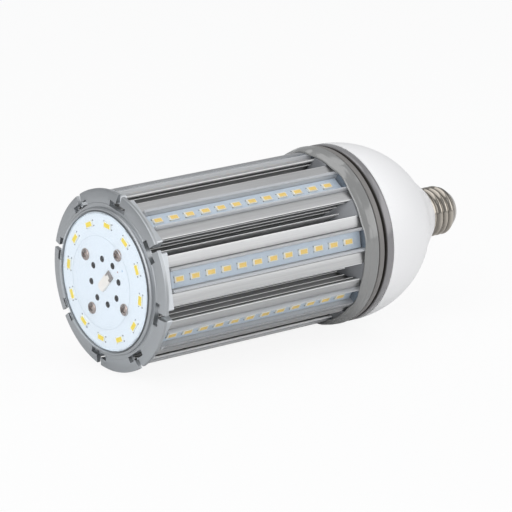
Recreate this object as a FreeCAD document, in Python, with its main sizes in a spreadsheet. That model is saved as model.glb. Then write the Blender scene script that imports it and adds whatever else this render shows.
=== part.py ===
import FreeCAD, Part
import math
import os
import re
import Sketcher

# A corn style LED lamp lying along X: clear end lens and LED disc at one end,
# a ridged aluminium heat sink with eight lit strips, a collar, a white driver
# housing and an Edison screw base at the other end.
# Every station is measured along X from the front of the end LEDs; the part's
# origin is on the axis where the screw shell starts.

V = FreeCAD.Vector
doc = FreeCAD.newDocument("corn_led_bulb")
sheet = doc.addObject("Spreadsheet::Sheet", "dims")
sheet.Label = "dims"

# Each size is a cell of its own. A size that follows another one is that one
# plus or minus a named step, so a change carries what sits on it along.
DIMS = [
    ("arm_count", 8), ("arm_turn", -10.72), ("fit_gap", 0.15), ("slide_gap", 0.1),
    ("sink_start", 5.4), ("sink_length", 130.6), ("face_height", 41.0), ("flange_half", 12.2), ("flange_thick", 1.2),
    ("hub_radius", 23.0), ("bore_radius", 11.0), ("ridge_pitch", 3.4), ("ridge_taper", 0.75), ("ridge_depth", 1.0), ("tip_flat", 0.45),
    ("bead_drop", 0.7), ("snap_depth", 0.45), ("fin_half", 0.6), ("screw_hole", 1.45),
    ("strip_half", 4.15), ("strip_thick", 1.6), ("chip_count", 12), ("chip_long", 5.7), ("chip_wide", 3.0), ("chip_high", 0.8),
    ("cover_skin", 0.6), ("cover_gap", 0.15), ("cover_leg", 1.5), ("disc_front", 0.8), ("disc_thick", 1.6), ("disc_chips", 12), ("disc_chip_turn", 5.91),
    ("hole_ring", 11.35), ("hole_radius", 1.65), ("wire_slot_half", 1.4), ("head_radius", 3.5), ("head_high", 1.25), ("shank_radius", 1.35),
    ("shank_long", 12.0), ("screw_count", 4), ("plug_long", 12.6), ("plug_wide", 4.2), ("plug_high", 1.2), ("plug_turn", 42.7),
    ("plug_side", -0.55), ("plug_up", 1.1), ("lens_front", -1.6), ("lens_skin", 1.0), ("lens_wall", 1.0), ("gasket_start", 0.2),
    ("cap_opening", 13.5), ("slot_half", 1.55), ("slot_bar_half", 6.0), ("arch_half", 7.2), ("arch_round", 16.0), ("cover_round", 15.0), ("rim_face", 0.8), ("collar_bore", 14.0), ("clamp_head", 2.6),
    ("shell_thick", 2.0), ("board_thick", 1.6), ("rail_half", 2.4), ("core_long", 18.0), ("core_wide", 17.0), ("core_high", 14.0),
    ("can_radius", 6.0), ("can_long", 20.0), ("coil_radius", 7.0), ("coil_long", 9.0),
    ("thread_crest", 13.0), ("thread_root", 12.15), ("thread_pitch", 3.629), ("thread_turns", 2.8), ("shell_skin", 0.45),
]
FOLLOWS = [
    ("sink_end", "sink_start + sink_length", None, 0), ("ridge_height", "face_height", "ridge_drop", -2.7), ("ridge_half", "flange_half", "ridge_inset", -0.8),
    ("channel_floor", "face_height", "seat_depth", -3.0), ("channel_half", "strip_half", "channel_room", 2.2), ("bead_half", "channel_half", "bead_wide", 1.45),
    ("hollow_top", "face_height", "hollow_roof", -5.0), ("hollow_top_half", "flange_half", "hollow_side", -4.2), ("hollow_low", "hub_radius", "hollow_step", 2.0),
    ("hollow_low_half", "hollow_top_half", "hollow_narrow", -2.4), ("fin_radius", "face_height", "fin_drop", -4.7), ("core_screw_radius", "hub_radius", "screw_inset", -4.0),
    ("strip_start", "sink_start", "strip_inset", 6.3), ("strip_end", "sink_end", "strip_short", -4.1), ("chip_first", "strip_start", "chip_lead", 4.71),
    ("chip_last", "strip_end", "chip_tail", -8.1), ("chip_pitch", "(chip_last - chip_first) / (chip_count - 1)", None, 0),
    ("cover_start", "strip_start", "cover_lead", -1.0), ("cover_end", "strip_end", "cover_tail", 1.6), ("cover_half", "channel_half", "cover_room", -0.25),
    ("cover_side", "face_height", "cover_rise", 2.0), ("cover_foot", "channel_floor", "foot_room", 0.25),
    ("lip_inner", "face_height", "lip_inset", -5.6), ("lip_outer", "lip_inner", "lip_wide", 1.6), ("disc_radius", "lip_inner", "disc_room", -0.8),
    ("disc_chip_radius", "disc_radius", "chip_inset", -5.34), ("lens_radius", "lip_inner", "lens_room", -0.5), ("gasket_radius", "lip_inner", "gasket_room", -0.05),
    ("lip_front", "disc_front", "lip_proud", -0.1), ("cap_front", "disc_front", "cap_back", 1.8), ("cap_step", "lip_outer", "step_wide", 2.0),
    ("cap_edge", "face_height", "cap_proud", 4.9), ("cap_bevel", "cap_edge", "bevel_wide", -4.7), ("cap_edge_front", "sink_start", "rim_thick", -1.8),
    ("skirt_half", "flange_half", "skirt_wall", 2.0), ("skirt_top", "face_height", "skirt_proud", 0.9), ("skirt_end", "sink_start", "skirt_long", 4.5),
    ("skirt_low", "face_height", "skirt_deep", -3.0), ("slot_bar_low", "face_height", "bar_drop", -2.7), ("slot_bar_high", "face_height", "bar_rise", 0.3),
    ("collar_front", "sink_end", "collar_grip", -4.7), ("collar_end", "sink_end", "collar_back", 3.2), ("collar_radius", "face_height", "collar_proud", 5.4),
    ("collar_front_radius", "face_height", "rim_proud", 3.2), ("crease_station", "collar_front", "crease_back", 3.5), ("crease_radius", "collar_radius", "crease_drop", -1.6),
    ("ramp_start", "sink_end", "ramp_long", -18.5), ("ramp_foot", "hub_radius", "ramp_step", 1.0), ("ramp_mid", "sink_end", "ramp_half", -11.5),
    ("ramp_mid_radius", "face_height", "ramp_drop", -5.4), ("ramp_top_radius", "face_height", "ramp_lip", -0.6), ("arch_front", "collar_front", "arch_back", 0.1),
    ("arch_side", "face_height", "arch_spring", 2.6), ("scoop_end", "collar_front", "scoop_deep", 3.9),
    ("seal_end", "collar_end", "seal_thick", 3.4), ("seal_radius", "collar_radius", "seal_inset", -0.3), ("spacer_end", "seal_end", "spacer_thick", 1.9),
    ("spacer_radius", "collar_radius", "spacer_inset", -3.0), ("flange_end", "spacer_end", "flange_deep", 4.2), ("flange_radius", "collar_radius", "flange_step", -0.2),
    ("clamp_radius", "collar_radius", "clamp_inset", -10.4), ("ring_bore", "clamp_radius", "ring_wall", -6.0),
    ("dome_radius", "collar_radius", "dome_step", -0.15), ("dome_arc", "dome_radius", "arc_more", 8.92), ("dome_end", "flange_end", "dome_long", 38.8),
    ("dome_end_radius", "dome_radius", "dome_fall", -16.75), ("neck_radius", "dome_end_radius", "neck_step", -0.8), ("neck_end", "dome_end", "neck_long", 17.0),
    ("neck_end_radius", "thread_crest", "neck_rim", 2.4), ("stub_radius", "thread_root - shell_skin", "stub_room", -0.1), ("stub_end", "neck_end", "stub_long", 13.0),
    ("base_station", "neck_end", None, 0), ("seat_radius", "thread_crest", "seat_room", 0.3), ("seat_floor", "neck_end", "seat_deep", -0.6), ("board_start", "flange_end", "board_lead", -2.7), ("board_end", "dome_end", "board_tail", -0.5),
    ("board_long", "board_end - board_start", None, 0), ("board_half", "dome_end_radius", "board_inset", -5.5), ("rail_start", "flange_end", "rail_lead", 2.8),
    ("rail_end", "dome_end", "rail_tail", -0.5), ("thread_start", "neck_end", "thread_lead", 5.1), ("shell_end", "neck_end", "shell_long", 16.1),
    ("cone_end", "shell_end", "cone_long", 4.0), ("cone_end_radius", "thread_root", "cone_fall", -2.85), ("glass_end", "cone_end", "glass_long", 2.4),
    ("glass_radius", "cone_end_radius", "glass_fall", -3.7), ("contact_radius", "glass_radius", "contact_inset", -1.0), ("contact_end", "glass_end", "contact_long", 2.8),
]
CELLS = DIMS + [(step, value) for _, _, step, value in FOLLOWS if step]
for row, (name, value) in enumerate(CELLS, start=1):
    sheet.set("A%d" % row, name)
    sheet.set("B%d" % row, "%g" % value)
    sheet.setAlias("B%d" % row, name)
doc.recompute()
NAMES = {name for name, _ in CELLS}
RULES = {name: base + (" + " + step if step else "") for name, base, step, _ in FOLLOWS}
D = dict(CELLS)


def ex(text):
    def word(found):
        name = found.group(0)
        if name in RULES:
            return "(" + ex(RULES[name]) + ")"
        return "dims." + name if name in NAMES else name
    return re.sub(r"[a-z_][a-z_0-9]*", word, str(text))


def plane(body, role):
    return [f for f in body.Origin.OriginFeatures if f.Role == role][0]


def new_body(label, turn="0"):
    body = doc.addObject("PartDesign::Body", label)
    body.Label = label
    body.AllowCompound = True
    body.Placement = FreeCAD.Placement(V(), FreeCAD.Rotation(V(1, 0, 0), 10))
    body.setExpression("Placement.Rotation.Angle", ex(turn))
    body.setExpression("Placement.Base.x", ex("-base_station"))
    return body


def sketch(body, name, role, loops, station=None, spin=None):
    sk = body.newObject("Sketcher::SketchObject", body.Label + "_" + name)
    sk.AttachmentSupport = (plane(body, role), [""])
    sk.MapMode = "FlatFace"
    sk.AttachmentOffset = FreeCAD.Placement(V(), FreeCAD.Rotation(V(0, 0, 1), 5 if spin else 0))
    if station is not None:
        sk.setExpression("AttachmentOffset.Base.z", ex(station))
    if spin:
        sk.setExpression("AttachmentOffset.Rotation.Angle", ex(spin))
    val = lambda e: float(sk.evalExpression(ex(e)))
    first = 0
    for loop in loops:
        if loop[0] == "circle":
            _, cx, cy, r = loop
            sk.addGeometry(Part.Circle(V(val(cx), val(cy), 0), V(0, 0, 1), val(r)), False)
            for kind, e in (("DistanceX", cx), ("DistanceY", cy)):
                value = val(e)
                if abs(value) < 1e-9:
                    where = (first, 3, -2) if kind == "DistanceX" else (first, 3, -1)
                    sk.addConstraint(Sketcher.Constraint("PointOnObject", *where))
                else:
                    k = sk.addConstraint(Sketcher.Constraint(kind, -1, 1, first, 3, value))
                    sk.setExpression("Constraints[%d]" % k, ex(e))
            k = sk.addConstraint(Sketcher.Constraint("Radius", first, val(r)))
            sk.setExpression("Constraints[%d]" % k, ex(r))
            first += 1
            continue
        count = len(loop)
        points = [V(val(p[0]), val(p[1]), 0) for p in loop]
        for i in range(count):
            a, b = points[i], points[(i + 1) % count]
            if len(loop[i]) > 2:
                r, side = val(loop[i][2]), loop[i][3]
                mid, along = (a + b) * 0.5, (b - a)
                half = along.Length / 2
                out = V(-along.y, along.x, 0).normalize() * side
                top = mid + out * (r - math.sqrt(r * r - half * half))
                # an arc is drawn counter-clockwise, so one bulging to the left runs backwards
                sk.addGeometry(Part.Arc(b, top, a) if side > 0 else Part.Arc(a, top, b), False)
            else:
                sk.addGeometry(Part.LineSegment(a, b), False)
        arcs = []
        for i in range(count):
            arcs.append((2, 1) if len(loop[i]) > 2 and loop[i][3] > 0 else (1, 2))
        for i in range(count):
            j = (i + 1) % count
            sk.addConstraint(Sketcher.Constraint("Coincident", first + i, arcs[i][1], first + j, arcs[j][0]))
        for i in range(count):
            for kind, e in (("DistanceX", loop[i][0]), ("DistanceY", loop[i][1])):
                value = val(e)
                if abs(value) < 1e-9:
                    sk.addConstraint(Sketcher.Constraint("PointOnObject", first + i, arcs[i][0], -2 if kind == "DistanceX" else -1))
                else:
                    k = sk.addConstraint(Sketcher.Constraint(kind, -1, 1, first + i, arcs[i][0], value))
                    sk.setExpression("Constraints[%d]" % k, ex(e))
            if len(loop[i]) > 2:
                k = sk.addConstraint(Sketcher.Constraint("Radius", first + i, val(loop[i][2])))
                sk.setExpression("Constraints[%d]" % k, ex(loop[i][2]))
        first += count
    return sk


def feature(body, kind, name, profile, **links):
    f = body.newObject("PartDesign::" + kind, body.Label + "_" + name)
    f.Profile = profile
    for key, value in links.items():
        if isinstance(value, str) and key in ("Length", "Angle", "Length2"):
            f.setExpression(key, ex(value))
        else:
            setattr(f, key, value)
    profile.Visibility = False
    body.Tip = f
    return f


def turned(body, name, points, cut=False):
    # a closed outline of (station, radius) turned about the lamp's axis
    sk = sketch(body, name + "_outline", "XY_Plane", [points] if not isinstance(points[0], list) else points)
    return feature(body, "Groove" if cut else "Revolution", name, sk, ReferenceAxis=(sk, ["H_Axis"]), Angle=360.0)


def prism(body, name, loops, start, length, spin=None):
    sk = sketch(body, name + "_section", "YZ_Plane", loops, station=start, spin=spin)
    return feature(body, "Pad", name, sk, Length=length)


def cut_prism(body, name, loops, start, length, spin=None):
    # cuts from the start station toward +X
    sk = sketch(body, name + "_section", "YZ_Plane", loops, station=start, spin=spin)
    before = None
    doc.recompute()
    before = body.Shape.Volume
    f = feature(body, "Pocket", name, sk, Length=length, Reversed=True)
    doc.recompute()
    if not f.Shape.Volume < before - 1e-3:
        raise RuntimeError("no cut made by " + f.Name)
    return f


def around(body, originals, count, name="ring"):
    f = body.newObject("PartDesign::PolarPattern", body.Label + "_" + name)
    f.Originals = originals
    f.Axis = (plane(body, "X_Axis"), [""])
    f.Angle = 360.0
    f.setExpression("Occurrences", ex(count))
    body.Tip = f
    return f


def along(body, originals, count, pitch, name="row"):
    f = body.newObject("PartDesign::LinearPattern", body.Label + "_" + name)
    f.Originals = originals
    f.Direction = (plane(body, "X_Axis"), [""])
    f.setExpression("Length", ex("(%s - 1) * %s" % (count, pitch)))
    f.setExpression("Occurrences", ex(count))
    body.Tip = f
    return f


def mirrored(half):
    # a closed loop from one flank, listed from the bottom up
    return half + [("-(%s)" % p[0], p[1]) for p in reversed(half)]


def box_loop(w0, w1, h0, h1):
    return [(w0, h0), (w1, h0), (w1, h1), (w0, h1)]


# Heat sink: hub tube, eight hollow T shaped arms with ridged flanks, a thin
# fin in every channel between the arms and four screw channels in the hub.
sink = new_body("heatsink", "arm_turn")
prism(sink, "hub", [("circle", "0", "0", "hub_radius")], "sink_start", "sink_end - sink_start")
flank = [("7.4", "hub_radius - 2.5"), ("7.7", "ridge_height - 4 * ridge_pitch - 1.6")]
for k in range(4, -1, -1):
    tip_w, tip_h = "ridge_half - %d * ridge_taper" % k, "ridge_height - %d * ridge_pitch" % k
    flank += [(tip_w, tip_h + " - tip_flat"), (tip_w, tip_h + " + tip_flat")]
    if k:
        flank += [(tip_w + " + ridge_taper / 2 - ridge_depth", tip_h + " + ridge_pitch / 2 - tip_flat"),
                  (tip_w + " + ridge_taper / 2 - ridge_depth", tip_h + " + ridge_pitch / 2 + tip_flat")]
flank += [("ridge_half - ridge_depth", "face_height - flange_thick - 0.25"), ("flange_half - 0.1", "face_height - flange_thick"),
          ("flange_half", "face_height - flange_thick / 2"), ("flange_half - 0.3", "face_height"), ("bead_half", "face_height"),
          ("channel_half", "face_height - bead_drop"), ("channel_half", "channel_floor + 1.5"),
          ("channel_half + snap_depth", "channel_floor + 1.3"), ("channel_half + snap_depth", "channel_floor + 0.5"),
          ("channel_half", "channel_floor + 0.3"), ("channel_half", "channel_floor")]
arm = prism(sink, "arm", [mirrored(flank)], "sink_start", "sink_end - sink_start")
fin = prism(sink, "fin", [box_loop("-fin_half", "fin_half", "hub_radius - 1", "fin_radius")], "sink_start",
            "sink_end - sink_start", spin="180 / arm_count")
around(sink, [arm, fin], "arm_count", "arms")
hollow = cut_prism(sink, "hollow", [mirrored([("hollow_low_half", "hollow_low"), ("hollow_top_half", "hollow_top")])],
                   "sink_start - 1", "sink_end - sink_start + 2")
around(sink, [hollow], "arm_count", "hollows")
cut_prism(sink, "bore", [("circle", "0", "0", "bore_radius")], "sink_start - 1", "sink_end - sink_start + 2")
hole = cut_prism(sink, "screw_channel", [("circle", "0", "core_screw_radius", "screw_hole")], "sink_start - 1",
                 "sink_end - sink_start + 2", spin="180 / arm_count * 2")
around(sink, [hole], "screw_count", "screw_channels")
room = cut_prism(sink, "hub_room", [mirrored([("2.6", "bore_radius + 3"), ("3.4", "hub_radius - 2")])], "sink_start - 1", "sink_end - sink_start + 2")
around(sink, [room], "screw_count", "hub_rooms")
room = cut_prism(sink, "gap_room", [mirrored([("1.8", "bore_radius + 3"), ("2.9", "hub_radius - 2.5")])], "sink_start - 1", "sink_end - sink_start + 2", spin="180 / arm_count")
around(sink, [room], "arm_count", "gap_rooms")

# Strip boards, chips and clear covers, one set on every arm.
for k in range(int(D["arm_count"])):
    turn = "arm_turn + %d * 360 / arm_count" % k
    board = new_body("strip_board_%d" % (k + 1), turn)
    prism(board, "plate", [box_loop("-strip_half", "strip_half", "channel_floor", "channel_floor + strip_thick")],
          "strip_start", "strip_end - strip_start")
    chips = new_body("strip_leds_%d" % (k + 1), turn)
    chip = prism(chips, "chip", [box_loop("-chip_wide / 2", "chip_wide / 2", "channel_floor + strip_thick",
                                          "channel_floor + strip_thick + chip_high")],
                 "chip_first - chip_long / 2", "chip_long")
    along(chips, [chip], "chip_count", "chip_pitch")
    cover = new_body("strip_cover_%d" % (k + 1), turn)
    prism(cover, "channel", [[("cover_half - cover_leg", "cover_foot"), ("cover_half - 0.3", "cover_foot"),
                              ("cover_half", "cover_foot + 0.4"), ("cover_half + snap_depth", "channel_floor + 0.8"),
                              ("cover_half", "channel_floor + 1.1"), ("cover_half", "cover_side", "cover_round", -1), ("-cover_half", "cover_side"), ("-cover_half", "channel_floor + 1.1"),
                              ("-(cover_half + snap_depth)", "channel_floor + 0.8"), ("-cover_half", "cover_foot + 0.4"),
                              ("-(cover_half - 0.3)", "cover_foot"), ("-(cover_half - cover_leg)", "cover_foot"),
                              ("-(cover_half - cover_leg)", "cover_side - cover_skin", "cover_round", 1), ("cover_half - cover_leg", "cover_side - cover_skin")]],
          "cover_start", "cover_end - cover_start")

# End cap: dish for the LED disc with a raised lip, bevelled rim plate with
# eight T slots, and a skirt hugging the end of every arm.
cap = new_body("end_cap", "arm_turn")
turned(cap, "plate", [("disc_front + disc_thick", "cap_opening"), ("disc_front + disc_thick", "lip_inner"), ("lip_front + 0.2", "lip_inner"),
                      ("lip_front", "lip_inner + 0.2"), ("lip_front", "lip_outer - 0.6"), ("lip_front + 0.6", "lip_outer"),
                      ("cap_front - 0.2", "lip_outer"), ("cap_front - 0.2", "cap_step"), ("cap_front", "cap_step + 0.2"),
                      ("cap_front", "cap_bevel"), ("cap_edge_front - 0.4", "cap_edge - 1.2"), ("cap_edge_front - 0.2", "cap_edge - 0.3"),
                      ("cap_edge_front + 0.1", "cap_edge"), ("sink_start - 0.2", "cap_edge"), ("sink_start", "cap_edge - 0.2"),
                      ("sink_start", "cap_opening")])
skirt = prism(cap, "skirt", [[("-skirt_half", "skirt_low"), ("-(flange_half + fit_gap)", "skirt_low"), ("-(flange_half + fit_gap)", "face_height + fit_gap"),
                              ("flange_half + fit_gap", "face_height + fit_gap"), ("flange_half + fit_gap", "skirt_low"), ("skirt_half", "skirt_low"),
                              ("skirt_half", "skirt_top - 0.5"), ("skirt_half - 0.5", "skirt_top"), ("-(skirt_half - 0.5)", "skirt_top"), ("-skirt_half", "skirt_top - 0.5")]],
              "sink_start - 0.6", "skirt_end - sink_start + 0.6")
around(cap, [skirt], "arm_count", "skirts")
slot = cut_prism(cap, "slot", [[("-slot_half", "cap_edge + 2"), ("-slot_half", "slot_bar_high"), ("-slot_bar_half", "slot_bar_high"),
                                ("-slot_bar_half", "slot_bar_low"), ("slot_bar_half", "slot_bar_low"), ("slot_bar_half", "slot_bar_high"),
                                ("slot_half", "slot_bar_high"), ("slot_half", "cap_edge + 2")]],
                 "lip_front", "sink_start - lip_front", spin="180 / arm_count")
around(cap, [slot], "arm_count", "slots")
hole = cut_prism(cap, "screw_hole", [("circle", "0", "core_screw_radius", "shank_radius + 0.3")], "lip_front",
                 "sink_start + 1 - lip_front", spin="180 / arm_count * 2")
around(cap, [hole], "screw_count", "screw_holes")

# End disc: round board with a ring of small holes, screw holes and a wire slot.
disc = new_body("end_board", "arm_turn")
prism(disc, "plate", [("circle", "0", "0", "disc_radius"), box_loop("-wire_slot_half", "wire_slot_half", "-wire_slot_half", "wire_slot_half")],
      "disc_front", "disc_thick")
hole = cut_prism(disc, "small_hole", [("circle", "0", "hole_ring", "hole_radius")], "disc_front - 0.5", "disc_thick + 1")
around(disc, [hole], "arm_count", "small_holes")
hole = cut_prism(disc, "screw_hole", [("circle", "0", "core_screw_radius", "shank_radius + 0.2")], "disc_front - 0.5", "disc_thick + 1",
                 spin="180 / arm_count * 2")
around(disc, [hole], "screw_count", "screw_holes")
chips = new_body("end_leds", "disc_chip_turn")
chip = prism(chips, "chip", [box_loop("-chip_long / 2", "chip_long / 2", "disc_chip_radius - chip_wide / 2", "disc_chip_radius + chip_wide / 2")],
             "disc_front - chip_high", "chip_high")
around(chips, [chip], "disc_chips")
plug = new_body("end_connector", "plug_turn")
prism(plug, "housing", [box_loop("plug_side - plug_wide / 2", "plug_side + plug_wide / 2", "plug_up - plug_long / 2", "plug_up + plug_long / 2")], "disc_front - plug_high", "plug_high")
cut_prism(plug, "wire_mouth", [box_loop("plug_side - plug_wide / 2 + 0.9", "plug_side + plug_wide / 2 - 0.9", "plug_up - plug_long / 2 + 1.2", "plug_up - 1.5")], "disc_front - plug_high - 0.2", "0.7")
cut_prism(plug, "wire_mouth_b", [box_loop("plug_side - plug_wide / 2 + 0.9", "plug_side + plug_wide / 2 - 0.9", "plug_up + 1.5", "plug_up + plug_long / 2 - 1.2")], "disc_front - plug_high - 0.2", "0.7")

# Four pan head screws hold the disc and the cap to the hub.
screws = new_body("end_screws", "arm_turn")
head = prism(screws, "head", [("circle", "0", "core_screw_radius", "head_radius")], "disc_front - head_high", "head_high", spin="180 / arm_count * 2")
shank = prism(screws, "shank", [("circle", "0", "core_screw_radius", "shank_radius")], "disc_front - 0.2", "shank_long", spin="180 / arm_count * 2")
ring = around(screws, [head, shank], "screw_count")
cross = cut_prism(screws, "recess", [[("-0.35", "core_screw_radius - 1.7"), ("0.35", "core_screw_radius - 1.7"), ("0.35", "core_screw_radius - 0.35"),
                                      ("1.7", "core_screw_radius - 0.35"), ("1.7", "core_screw_radius + 0.35"), ("0.35", "core_screw_radius + 0.35"),
                                      ("0.35", "core_screw_radius + 1.7"), ("-0.35", "core_screw_radius + 1.7"), ("-0.35", "core_screw_radius + 0.35"),
                                      ("-1.7", "core_screw_radius + 0.35"), ("-1.7", "core_screw_radius - 0.35"), ("-0.35", "core_screw_radius - 0.35")]],
                  "disc_front - head_high - 0.2", "1.0", spin="180 / arm_count * 2")
around(screws, [cross], "screw_count", "recesses")

# Clear lens over the disc and the gasket round it.
lens = new_body("end_lens")
turned(lens, "cup", [("lens_front", "0"), ("lens_front", "lens_radius - 1.2"), ("lens_front + 0.4", "lens_radius - 0.4"), ("lens_front + 1.2", "lens_radius"),
                     ("disc_front", "lens_radius"), ("disc_front", "lens_radius - lens_wall"), ("lens_front + lens_skin", "lens_radius - lens_wall"),
                     ("lens_front + lens_skin", "0")])
gasket = new_body("lens_gasket")
turned(gasket, "ring", [("gasket_start", "lens_radius + 0.05"), ("gasket_start", "gasket_radius"), ("disc_front + disc_thick", "gasket_radius"),
                        ("disc_front + disc_thick", "lens_radius + 0.05")])

# Collar: a turned ring with a tongue filling every channel, pockets for the
# arms and an arch over every domed cover.
collar = new_body("collar", "arm_turn")
turned(collar, "ring", [("collar_end", "collar_bore"), ("collar_end", "collar_radius - 0.2"), ("collar_end - 0.2", "collar_radius"), ("collar_end - 1", "collar_radius"),
                        ("crease_station + 0.4", "crease_radius + 0.3"), ("crease_station", "crease_radius"), ("collar_front", "collar_front_radius"),
                        ("collar_front", "collar_front_radius - rim_face"), ("collar_front - 2.8", "ramp_top_radius"),
                        ("ramp_mid", "ramp_mid_radius"), ("ramp_start", "ramp_foot"), ("ramp_start", "hub_radius + fit_gap"), ("sink_end", "hub_radius + fit_gap"),
                        ("sink_end", "collar_bore")])
pocket = cut_prism(collar, "arm_pocket", [mirrored([("7.4 + fit_gap", "hub_radius - 2.5"), ("8.9", "ridge_height - 4 * ridge_pitch - 1.2"),
                                                    ("ridge_half + 0.4", "face_height - flange_thick - 0.7"), ("flange_half + fit_gap", "face_height - flange_thick - fit_gap"),
                                                    ("flange_half + fit_gap", "face_height + fit_gap")])],
                   "ramp_start - 1", "sink_end - ramp_start + 1")
around(collar, [pocket], "arm_count", "arm_pockets")
slot = cut_prism(collar, "fin_slot", [box_loop("-fin_half - fit_gap", "fin_half + fit_gap", "hub_radius - 1", "fin_radius + fit_gap")],
                 "ramp_start - 1", "sink_end - ramp_start + 1", spin="180 / arm_count")
around(collar, [slot], "arm_count", "fin_slots")
arch = prism(collar, "arch", [[("-arch_half", "face_height + fit_gap"), ("arch_half", "face_height + fit_gap"), ("arch_half", "arch_side", "arch_round", -1), ("-arch_half", "arch_side")]],
             "arch_front", "crease_station + 1.5 - arch_front")
around(collar, [arch], "arm_count", "arches")
scoop = cut_prism(collar, "scoop", [[("-(cover_half + cover_gap)", "channel_floor"), ("cover_half + cover_gap", "channel_floor"), ("cover_half + cover_gap", "cover_side + 0.1", "cover_round", -1),
                                    ("-(cover_half + cover_gap)", "cover_side + 0.1")]], "collar_front - 4", "scoop_end - collar_front + 4")
around(collar, [scoop], "arm_count", "scoops")

# Seal ring, dark spacer and flange ring between the collar and the housing.
seal = new_body("seal_ring")
turned(seal, "ring", [("collar_end", "ring_bore"), ("collar_end", "seal_radius - 0.3"), ("collar_end + 0.3", "seal_radius"), ("seal_end - 0.3", "seal_radius"),
                      ("seal_end", "seal_radius - 0.3"), ("seal_end", "ring_bore")])
spacer = new_body("spacer_ring")
turned(spacer, "ring", [("seal_end", "ring_bore"), ("seal_end", "spacer_radius"), ("spacer_end", "spacer_radius"), ("spacer_end", "ring_bore")])
flange = new_body("flange_ring")
turned(flange, "ring", [("spacer_end", "ring_bore"), ("spacer_end", "flange_radius - 0.5"), ("spacer_end + 0.5", "flange_radius"), ("flange_end - 0.5", "flange_radius"),
                        ("flange_end", "flange_radius - 0.4"), ("flange_end", "ring_bore")])
clamps = new_body("ring_screws", "arm_turn")
head = prism(clamps, "head", [("circle", "0", "clamp_radius", "clamp_head")], "flange_end", "2")
shank = prism(clamps, "shank", [("circle", "0", "clamp_radius", "clamp_head / 2")], "collar_end - 2.6", "flange_end - collar_end + 2.8")
around(clamps, [head, shank], "screw_count")
for body in (collar, seal, spacer, flange):
    hole = cut_prism(body, "clamp_hole", [("circle", "0", "clamp_radius", "clamp_head / 2 + 0.1" if body is not collar else "clamp_head / 2")],
                     "collar_end - 2.8", "flange_end - collar_end + 4",
                     spin=None if body is collar else "arm_turn")
    around(body, [hole], "screw_count", "clamp_holes")

# Driver housing: a hollow dome and neck ending in a stub inside the screw shell.
dome = new_body("driver_housing", "arm_turn")
turned(dome, "shell", [("flange_end", "dome_radius - shell_thick"), ("flange_end", "dome_radius", "dome_arc", 1), ("dome_end", "dome_end_radius"), ("dome_end + 0.1", "neck_radius"),
                       ("neck_end - 0.5", "neck_end_radius"), ("neck_end", "neck_end_radius - 0.5"), ("neck_end", "seat_radius"), ("seat_floor", "seat_radius"), ("seat_floor", "stub_radius"),
                       ("stub_end", "stub_radius"), ("stub_end", "stub_radius - 1.6"), ("seat_floor - 1.6", "stub_radius - 1.6"), ("seat_floor - 1.6", "neck_end_radius - 2"), ("dome_end - 0.6", "neck_radius - 2.4", "dome_arc", -1)])

for side, sign in (("a", ""), ("b", "-")):
    web = sketch(dome, "rail_%s_outline" % side, "XY_Plane", [[("rail_start", sign + "(board_half - 2)"), ("rail_start", sign + "(dome_radius - 1.4)"), ("rail_start + 8", sign + "(dome_radius - 2)"),
                                                               ("rail_start + 18", sign + "(dome_radius - 5)"), ("rail_start + 28", sign + "(dome_radius - 10.6)"), ("rail_end", sign + "(dome_end_radius - 1)"),
                                                               ("rail_end", sign + "(board_half - 2)")]], station="-board_thick / 2")
    feature(dome, "Pad", "rail_" + side, web, Length="2 * rail_half", Midplane=True)
cut_prism(dome, "board_slot", [box_loop("-board_half - slide_gap", "board_half + slide_gap", "-board_thick - slide_gap", "slide_gap")], "rail_start - 3",
          "board_start + board_long - rail_start + 3")

# Driver inside the housing: a board carrying transformer, capacitors and a coil.
pcb = new_body("driver_board", "arm_turn")
prism(pcb, "plate", [box_loop("-board_half", "board_half", "-board_thick", "0")], "board_start", "board_long")
core = new_body("transformer", "arm_turn")
prism(core, "core", [box_loop("-core_wide / 2", "core_wide / 2", "0", "core_high")], "board_start + 10", "core_long")
prism(core, "winding", [box_loop("-core_wide / 2 - 1.5", "core_wide / 2 + 1.5", "1.5", "core_high - 1.5")], "board_start + 13", "core_long - 6")
cans = new_body("capacitors", "arm_turn")
prism(cans, "can", [("circle", "-17", "can_radius", "can_radius")], "board_start + 6", "can_long")
prism(cans, "can_b", [("circle", "17", "can_radius", "can_radius")], "board_start + 6", "can_long")
coil = new_body("inductor", "arm_turn")
prism(coil, "drum", [("circle", "-1", "-board_thick - coil_radius", "coil_radius")], "board_start + 12", "coil_long")
prism(coil, "rim", [("circle", "-1", "-board_thick - coil_radius", "coil_radius - 1.2")], "board_start + 12 + coil_long", "3")

# Screw base: rolled thread shell with a coned end, glass insulator and contact.
base = doc.addObject("Part::Feature", "screw_shell")
base.Label = "screw_shell"
g = lambda name: float(base.evalExpression(ex(name)))
root, crest, pitch = g("thread_root"), g("thread_crest"), g("thread_pitch")
length = pitch * g("thread_turns")
helix = Part.makeHelix(pitch, length, root)
rib = [V(root - 0.3, 0, -1.35), V(crest - 0.1, 0, -0.42), V(crest, 0, 0), V(crest - 0.1, 0, 0.42), V(root - 0.3, 0, 1.35)]
thread = Part.Wire(helix.Edges).makePipeShell([Part.makePolygon(rib + [rib[0]])], True, True)
thread.rotate(V(), V(0, 1, 0), 90)
thread.translate(V(g("thread_start"), 0, 0))
skin = g("shell_skin")
seat, n0, s1, c1, cr = g("seat_floor"), g("neck_end"), g("shell_end"), g("cone_end"), g("cone_end_radius")
outline = [V(seat, root + 0.5, 0), V(seat + 0.4, root + 0.75, 0), V(n0 + 2.6, root + 0.75, 0), V(n0 + 3.6, root, 0), V(s1, root, 0), V(c1, cr, 0),
           V(c1, cr - skin, 0), V(s1 - 0.2, root - skin, 0), V(seat, root - skin, 0)]
core = Part.Face(Part.makePolygon(outline + [outline[0]])).revolve(V(), V(1, 0, 0), 360)
base.Shape = core.fuse(thread)
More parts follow.
